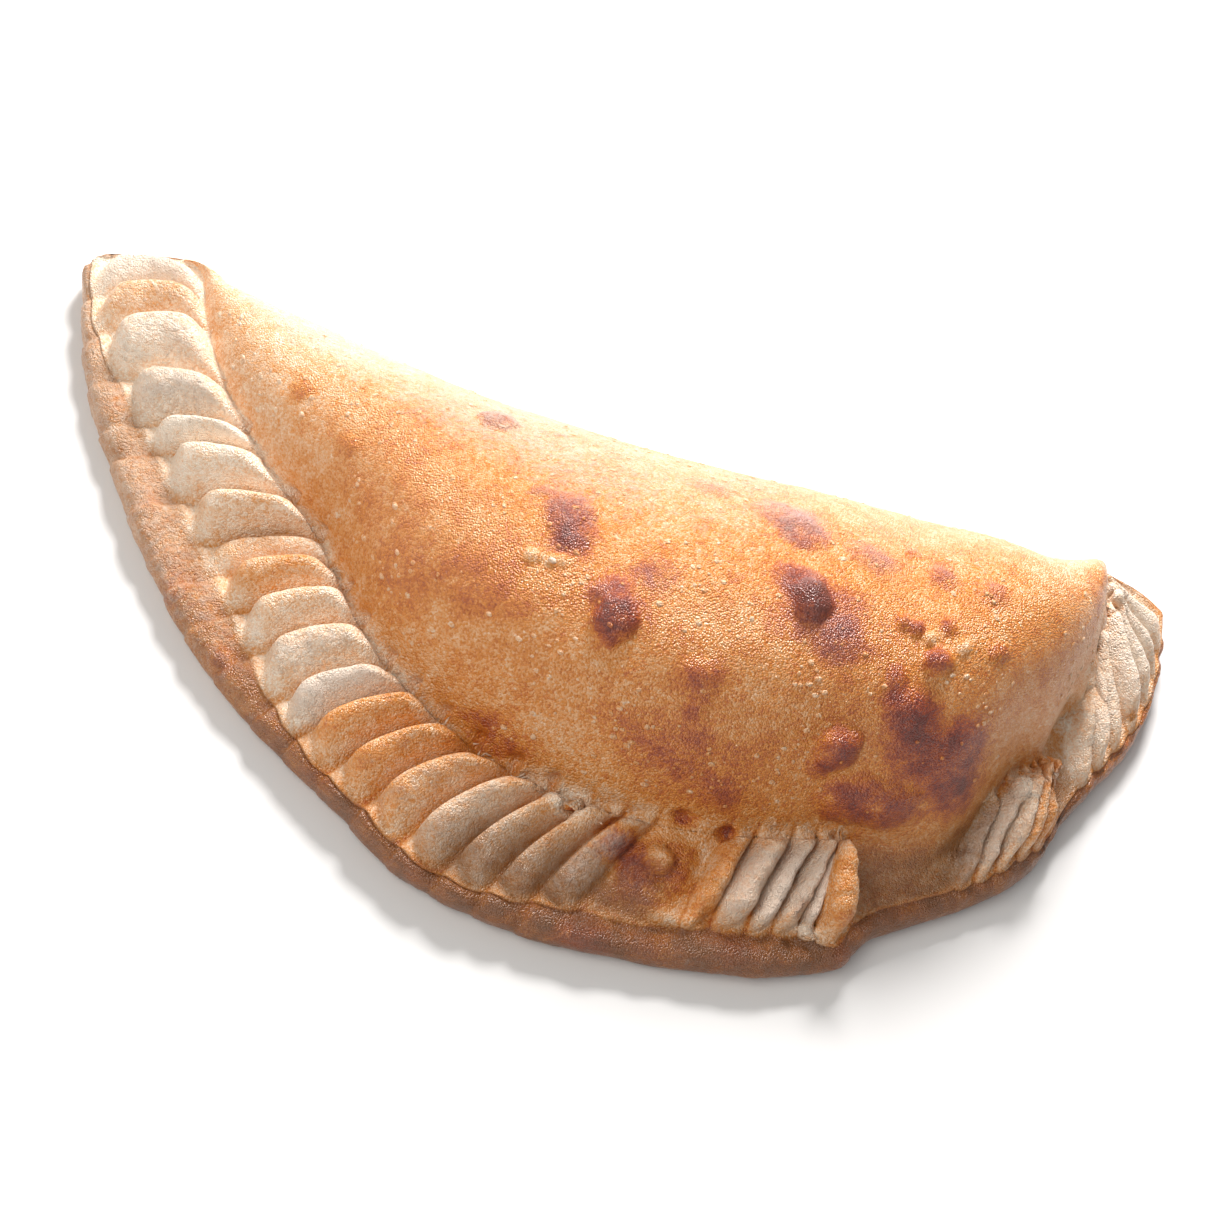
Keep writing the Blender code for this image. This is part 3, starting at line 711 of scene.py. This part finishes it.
def marksMesh(piece, held):
    # One vertex for each mark, on the skin, with the mark's sizes as attributes
    swing, over, along = held["swing"][:, 0], held["over"][0], held["along"][0]
    around = len(over)
    points, sizes = [], []
    for marks, place, here in ((domeMarks, over, over > 0), (crimpMarks, along, (over == 0) & (along < 2))):
        rows = np.flatnonzero(here)
        for mark in marks:
            column = int(np.argmin(abs(swing - mark[0])))
            row = int(rows[np.argmin(abs(place[rows] - mark[1]))])
            points.append(tuple(piece.data.vertices[column * around + row].co))
            sizes.append(mark[2:])
    mesh = bpy.data.meshes.new("marks")
    mesh.from_pydata(points, [], [])
    for name, values in zip(("size", "stretch", "rise", "brown", "crisp", "ashen"), zip(*sizes)):
        mesh.attributes.new(name, "FLOAT", "POINT").data.foreach_set("value", values)
    return mesh


def blisterTree(material):
    tree, given, result = newTree("raise blisters", [
        ("Marks", "Object", None), ("Count", "Int", 1), ("Ragged", "Float", 0.3), ("Ragged scale", "Float", 190.0),
    ])
    marks = addNode(tree, "GeometryNodeObjectInfo", {"Object": given.outputs["Marks"]}).outputs["Geometry"]
    position = tree.nodes.new("GeometryNodeInputPosition").outputs[0]
    normal = tree.nodes.new("GeometryNodeInputNormal").outputs[0]
    wobble = addNode(tree, "ShaderNodeTexNoise", {"Vector": position, "Scale": given.outputs["Ragged scale"], "Detail": 3.0})
    wobble = calc(tree, "MULTIPLY", calc(tree, "SUBTRACT", wobble.outputs["Fac"], 0.5), given.outputs["Ragged"])
    wobble = calc(tree, "MULTIPLY_ADD", wobble, 2.0, 1.0)

    start = stored(tree, given.outputs["Geometry"], "wobble", wobble)
    start = stored(tree, start, "lift", 0.0)
    start = stored(tree, start, "scorch", 0.0)
    start = stored(tree, start, "ash", 0.0)
    loopIn = tree.nodes.new("GeometryNodeRepeatInput")
    loopOut = tree.nodes.new("GeometryNodeRepeatOutput")
    loopIn.pair_with_output(loopOut)
    tree.links.new(given.outputs["Count"], loopIn.inputs["Iterations"])
    tree.links.new(start, loopIn.inputs["Geometry"])
    index = loopIn.outputs["Iteration"]

    def ofMark(value, kind="FLOAT"):
        inputs = {"Geometry": marks, "Value": value, "Index": index}
        return addNode(tree, "GeometryNodeSampleIndex", inputs, data_type=kind, domain="POINT").outputs["Value"]

    centre = ofMark(position, "FLOAT_VECTOR")
    size = ofMark(named(tree, "size"))
    stretch = ofMark(named(tree, "stretch"))
    away = vectorCalc(tree, "SUBTRACT", position, centre)
    split = addNode(tree, "ShaderNodeSeparateXYZ", {0: away})
    narrowed = calc(tree, "DIVIDE", split.outputs["X"], stretch)
    joined = addNode(tree, "ShaderNodeCombineXYZ", {"X": narrowed, "Y": split.outputs["Y"], "Z": split.outputs["Z"]})
    distance = vectorCalc(tree, "LENGTH", joined.outputs[0], output="Value")
    radius = calc(tree, "MULTIPLY", size, mm / 2)
    reach = calc(tree, "MULTIPLY", calc(tree, "DIVIDE", distance, radius), named(tree, "wobble"))
    inside = calc(tree, "MAXIMUM", calc(tree, "SUBTRACT", 1.0, calc(tree, "MULTIPLY", reach, reach)), 0.0)
    crisp = ofMark(named(tree, "crisp"))
    dome = calc(tree, "POWER", inside, mapped(tree, crisp, 0.0, 1.0, 1.7, 0.75, smooth=False))
    lift = calc(tree, "MULTIPLY_ADD", dome, ofMark(named(tree, "rise")), named(tree, "lift"))
    wide = calc(tree, "MULTIPLY", reach, mapped(tree, crisp, 0.0, 1.0, 0.7, 1.0, smooth=False))
    halo = calc(tree, "MAXIMUM", calc(tree, "SUBTRACT", 1.0, calc(tree, "MULTIPLY", wide, wide)), 0.0)
    halo = calc(tree, "POWER", halo, mapped(tree, crisp, 0.0, 1.0, 1.6, 0.5, smooth=False))
    scorch = calc(tree, "MULTIPLY_ADD", halo, ofMark(named(tree, "brown")), named(tree, "scorch"))
    ash = calc(tree, "MULTIPLY_ADD", halo, ofMark(named(tree, "ashen")), named(tree, "ash"))
    onward = stored(tree, loopIn.outputs["Geometry"], "lift", lift)
    onward = stored(tree, onward, "scorch", scorch)
    onward = stored(tree, onward, "ash", ash)
    tree.links.new(onward, loopOut.inputs["Geometry"])

    offset = vectorCalc(tree, "SCALE", normal, calc(tree, "MULTIPLY", named(tree, "lift"), mm))
    moved = addNode(tree, "GeometryNodeSetPosition", {"Geometry": loopOut.outputs["Geometry"], "Offset": offset})
    closeTree(tree, moved.outputs["Geometry"], material, result)
    return tree


# Pale pimples baked on the dome: small flattened beads, thickest in scattered clumps
pimples = {
    "Density": 140000.0,     # beads on a square metre
    "Smallest": 0.4,         # mm across
    "Largest": 1.3,
    "Flatness": 0.45,
    "Seed": 11,
}


def pimpleTree(material):
    tree, given, result = newTree("scatter pimples", [
        ("Density", "Float", 30000.0), ("Smallest", "Float", 0.4), ("Largest", "Float", 1.2),
        ("Flatness", "Float", 0.5), ("Seed", "Int", 1),
    ])
    position = tree.nodes.new("GeometryNodeInputPosition").outputs[0]
    along = named(tree, "along")
    clump = addNode(tree, "ShaderNodeTexNoise", {"Vector": position, "Scale": 42.0, "Detail": 2.0}).outputs["Fac"]
    onDome = calc(tree, "MULTIPLY", mapped(tree, along, 1.12, 1.5), mapped(tree, along, 5.2, 4.6))
    thick = calc(tree, "MULTIPLY", mapped(tree, clump, 0.42, 0.66, 0.06, 1.0), onDome)
    density = calc(tree, "MULTIPLY", thick, given.outputs["Density"])
    spots = addNode(tree, "GeometryNodeDistributePointsOnFaces", {
        "Mesh": given.outputs["Geometry"], "Density": density, "Seed": given.outputs["Seed"],
    })
    bead = addNode(tree, "GeometryNodeMeshIcoSphere", {"Radius": mm / 2, "Subdivisions": 2}).outputs["Mesh"]
    chance = addNode(tree, "FunctionNodeRandomValue", {"Seed": given.outputs["Seed"]}, data_type="FLOAT")
    skewed = calc(tree, "POWER", chance.outputs[1], 2.6)
    across = mapped(tree, skewed, 0.0, 1.0, given.outputs["Smallest"], given.outputs["Largest"], smooth=False)
    tall = calc(tree, "MULTIPLY", across, given.outputs["Flatness"])
    drawn = addNode(tree, "FunctionNodeRandomValue", {2: 0.8, 3: 1.7, "Seed": 5}, data_type="FLOAT").outputs[1]
    longer = calc(tree, "MULTIPLY", across, drawn)
    size = addNode(tree, "ShaderNodeCombineXYZ", {"X": longer, "Y": across, "Z": tall}).outputs[0]
    pale = stored(tree, spots.outputs["Points"], "browned", calc(tree, "MULTIPLY", named(tree, "browned"), 0.6))
    pale = stored(tree, pale, "floured", 0.15)
    pale = stored(tree, pale, "scorch", calc(tree, "MULTIPLY", named(tree, "scorch"), 0.6))
    beads = addNode(tree, "GeometryNodeInstanceOnPoints", {
        "Points": pale, "Instance": bead, "Rotation": spots.outputs["Rotation"], "Scale": size,
    })
    smooth = addNode(tree, "GeometryNodeRealizeInstances", {"Geometry": beads.outputs["Instances"]})
    smooth = addNode(tree, "GeometryNodeSetShadeSmooth", {"Geometry": smooth.outputs["Geometry"]})
    closeTree(tree, smooth.outputs["Geometry"], material, result)
    return tree


# Torn shreds of dough where the pleats were pinched to the dome: swing, how many, length in mm
shredSpots = [
    (6.0, 1, 1.5), (16.5, 2, 1.6), (24.7, 2, 2.4), (31.2, 3, 2.2), (36.5, 5, 2.6), (41.5, 2, 1.6), (47.0, 3, 2.2),
    (53.5, 4, 2.4), (58.2, 3, 1.6), (63.2, 4, 2.2), (68.3, 5, 2.2), (73.4, 4, 3.0), (80.1, 5, 4.6), (84.0, 2, 1.8),
    (88.5, 3, 1.6), (132.8, 3, 2.0), (152.8, 3, 2.4),
]

shreds = {
    "Thickness": 0.5,        # mm at the middle
    "Spread": 2.0,           # mm round its spot
    "Seed": 4,
}


def shredMesh(piece, held):
    # One vertex for each shred, on the groove, with its length and the skin's normal
    swing, along = held["swing"][:, 0], held["along"][0]
    around = len(along)
    row = int(np.argmin(abs(along - 1.03)))
    points, lengths, normals = [], [], []
    for spot, count, length in shredSpots:
        vertex = piece.data.vertices[int(np.argmin(abs(swing - spot))) * around + row]
        points += [tuple(vertex.co)] * count
        lengths += [length] * count
        normals += [tuple(vertex.normal)] * count
    mesh = bpy.data.meshes.new("calzone_shreds")
    mesh.from_pydata(points, [], [])
    mesh.attributes.new("length", "FLOAT", "POINT").data.foreach_set("value", lengths)
    flat = [value for normal in normals for value in normal]
    mesh.attributes.new("outwards", "FLOAT_VECTOR", "POINT").data.foreach_set("vector", flat)
    return mesh


def shredTree(material):
    tree, given, result = newTree("tear shreds", [
        ("Thickness", "Float", 0.3), ("Spread", "Float", 1.5), ("Seed", "Int", 1), ("Skin", "Object", None),
    ])
    seed = given.outputs["Seed"]
    spread = calc(tree, "MULTIPLY", given.outputs["Spread"], mm)
    back = calc(tree, "MULTIPLY", spread, -1.0)
    least = addNode(tree, "ShaderNodeCombineXYZ", {"X": back, "Y": back, "Z": 0.0}).outputs[0]
    most = addNode(tree, "ShaderNodeCombineXYZ", {"X": spread, "Y": spread, "Z": 0.0}).outputs[0]
    shift = addNode(tree, "FunctionNodeRandomValue", {0: least, 1: most, "Seed": seed}, data_type="FLOAT_VECTOR")
    moved = addNode(tree, "GeometryNodeSetPosition", {"Geometry": given.outputs["Geometry"], "Offset": shift.outputs[0]})
    skin = addNode(tree, "GeometryNodeObjectInfo", {"Object": given.outputs["Skin"]}).outputs["Geometry"]
    near = addNode(tree, "GeometryNodeProximity", {"Target": skin}, target_element="FACES").outputs["Position"]
    onSkin = addNode(tree, "GeometryNodeSetPosition", {"Geometry": moved.outputs["Geometry"], "Position": near})

    # one shred: a short arch, thick in the middle, with both ends in the skin
    arch = addNode(tree, "GeometryNodeCurveQuadraticBezier", {
        "Resolution": 6, "Start": (-0.5 * mm, 0.0, -0.12 * mm), "Middle": (0.0, 0.12 * mm, 0.42 * mm),
        "End": (0.5 * mm, 0.0, -0.12 * mm),
    }).outputs["Curve"]
    part = tree.nodes.new("GeometryNodeSplineParameter").outputs["Factor"]
    bulge = calc(tree, "SINE", calc(tree, "MULTIPLY", part, math.pi))
    bulge = calc(tree, "MULTIPLY_ADD", bulge, 0.8, 0.2)
    radius = calc(tree, "MULTIPLY", calc(tree, "MULTIPLY", bulge, given.outputs["Thickness"]), mm / 2)
    ring = addNode(tree, "GeometryNodeCurvePrimitiveCircle", {"Resolution": 6, "Radius": 1.0}).outputs["Curve"]
    tube = addNode(tree, "GeometryNodeCurveToMesh", {
        "Curve": arch, "Profile Curve": ring, "Scale": radius, "Fill Caps": True,
    }).outputs["Mesh"]
    turn = addNode(tree, "FunctionNodeRandomValue", {2: -1.0, 3: 1.0, "Seed": seed}, data_type="FLOAT").outputs[1]
    spin = addNode(tree, "ShaderNodeCombineXYZ", {"X": 0.0, "Y": 0.0, "Z": calc(tree, "MULTIPLY_ADD", turn, 1.5, 0.3)})
    spun = addNode(tree, "FunctionNodeEulerToRotation", {"Euler": spin.outputs[0]}).outputs[0]
    upright = addNode(tree, "FunctionNodeAlignRotationToVector", {
        "Rotation": spun, "Vector": named(tree, "outwards", "FLOAT_VECTOR"),
    }, axis="Z").outputs[0]
    longer = addNode(tree, "FunctionNodeRandomValue", {2: 0.6, 3: 1.3, "Seed": seed}, data_type="FLOAT").outputs[1]
    size = addNode(tree, "ShaderNodeCombineXYZ", {
        "X": calc(tree, "MULTIPLY", longer, named(tree, "length")), "Y": 1.0, "Z": 1.0,
    }).outputs[0]
    laid = addNode(tree, "GeometryNodeInstanceOnPoints", {
        "Points": onSkin.outputs["Geometry"], "Instance": tube, "Rotation": upright, "Scale": size,
    })
    smooth = addNode(tree, "GeometryNodeRealizeInstances", {"Geometry": laid.outputs["Instances"]})
    smooth = addNode(tree, "GeometryNodeSetShadeSmooth", {"Geometry": smooth.outputs["Geometry"]}).outputs["Geometry"]
    pale = stored(tree, smooth, "browned", 0.12)
    pale = stored(tree, pale, "floured", 0.2)
    closeTree(tree, pale, material, result)
    return tree


crustLook = crustMaterial()
plain, held = plainSkin()
plain, held = roundTips(plain, held)
browned, floured, paintedShade = baseColouring(held)
fields = {name: held[name] for name in ("share", "along", "height", "over", "swing", "cut", "side")}
fields["browned"] = browned
fields["floured"] = floured
fields["paintedShade"] = paintedShade
calzone = addPiece("calzone_crust", skinMesh("calzone_crust", plain, fields))
leftward = np.gradient(plain, axis=0)
leftward /= -np.linalg.norm(leftward, axis=2)[:, :, None] + 1e-9
leftward = np.concatenate([leftward.reshape(-1, 3), np.zeros((2, 3))])
layer = calzone.data.attributes.new("leftward", "FLOAT_VECTOR", "POINT")
layer.data.foreach_set("vector", leftward.astype(np.float32).reshape(-1))
print("calzone: plain skin of", len(calzone.data.polygons), "faces")

runTree(calzone, crimpTree(crustLook), crimp)
print("calzone: pleats raised")

marks = addPiece("marks", marksMesh(calzone, held))
markCount = len(domeMarks) + len(crimpMarks)
runTree(calzone, blisterTree(crustLook), {"Marks": marks, "Count": markCount, **blistering})
bpy.data.objects.remove(marks)
print("calzone: blisters raised")

calzone.data.shade_smooth()
calzone.data.materials.clear()
calzone.data.materials.append(crustLook)

beads = addPiece("calzone_pimples", calzone.data.copy())
runTree(beads, pimpleTree(crustLook), pimples)
print("calzone: pimples of", len(beads.data.polygons), "faces")

torn = addPiece("calzone_shreds", shredMesh(calzone, held))
runTree(torn, shredTree(crustLook), {"Skin": calzone, **shreds})
print("calzone: shreds of", len(torn.data.polygons), "faces")

for piece in (calzone, beads, torn):
    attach(piece, "root")
    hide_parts("calzone")


# The view: over the rim from the front, the calzone running down to the right
view = {
    "azimuth": -12.0,
    "elevation": 55.0,
    "roll": 26.0,
    "distance": 462.8,
    "aim": (3.09, 5.24, 15.0),
    "moved": (-3.41, 2.28),  # mm to the right and up in the view
    "lens": 60.0,
}


def addCamera():
    azimuth, elevation, roll = [math.radians(view[name]) for name in ("azimuth", "elevation", "roll")]
    back = Vector((math.sin(azimuth) * math.cos(elevation), -math.cos(azimuth) * math.cos(elevation), math.sin(elevation)))
    level = Vector((math.cos(azimuth), math.sin(azimuth), 0.0))
    upright = back.cross(level)
    right = level * math.cos(roll) + upright * math.sin(roll)
    up = upright * math.cos(roll) - level * math.sin(roll)
    camera = bpy.data.cameras.new("camera")
    camera.lens = view["lens"]
    camera.sensor_width = 36.0
    camera.clip_start = 0.01
    piece = bpy.data.objects.new("camera", camera)
    bpy.context.scene.collection.objects.link(piece)
    place = Vector(view["aim"]) + right * view["moved"][0] + up * view["moved"][1] + back * view["distance"]
    piece.matrix_world = Matrix.Translation(place * mm) @ Matrix((right, up, back)).transposed().to_4x4()
    bpy.context.scene.camera = piece
    return right, up, back


lighting = {
    # where each light stands as seen in the view: right, up, towards the viewer, in mm; size in mm; watts; colour
    "key": ((170, 610, 90), 240, 7.8, (1.0, 0.97, 0.95)),
    "fill": ((-240, 160, 660), 600, 2.6, (1.0, 0.96, 0.90)),
    "sky": 0.30,
}


def addLight(name, right, up, back):
    place, size, watts, tint = lighting[name]
    lamp = bpy.data.lights.new(name, "AREA")
    lamp.shape = "DISK"
    lamp.size = size * mm
    lamp.energy = watts
    lamp.color = tint
    piece = bpy.data.objects.new(name, lamp)
    bpy.context.scene.collection.objects.link(piece)
    where = (right * place[0] + up * place[1] + back * place[2]) * mm
    piece.location = where
    piece.rotation_euler = where.to_track_quat("Z", "Y").to_euler()


def addFloor():
    bpy.ops.mesh.primitive_plane_add(size=6.0)
    floor = bpy.context.object
    floor.name = "floor"
    material = bpy.data.materials.new("pale_floor")
    material.use_nodes = True
    shader = material.node_tree.nodes["Principled BSDF"]
    shader.inputs["Base Color"].default_value = (0.83, 0.83, 0.83, 1.0)
    shader.inputs["Roughness"].default_value = 0.9
    floor.data.materials.append(material)


right, up, back = addCamera()
addLight("key", right, up, back)
addLight("fill", right, up, back)
addFloor()
world = bpy.data.worlds.new("studio")
world.use_nodes = True
world.node_tree.nodes["Background"].inputs["Color"].default_value = (1.0, 1.0, 1.0, 1.0)
world.node_tree.nodes["Background"].inputs["Strength"].default_value = lighting["sky"]
bpy.context.scene.world = world
bpy.context.scene.view_settings.view_transform = "Standard"
print("calzone: camera and lights set")
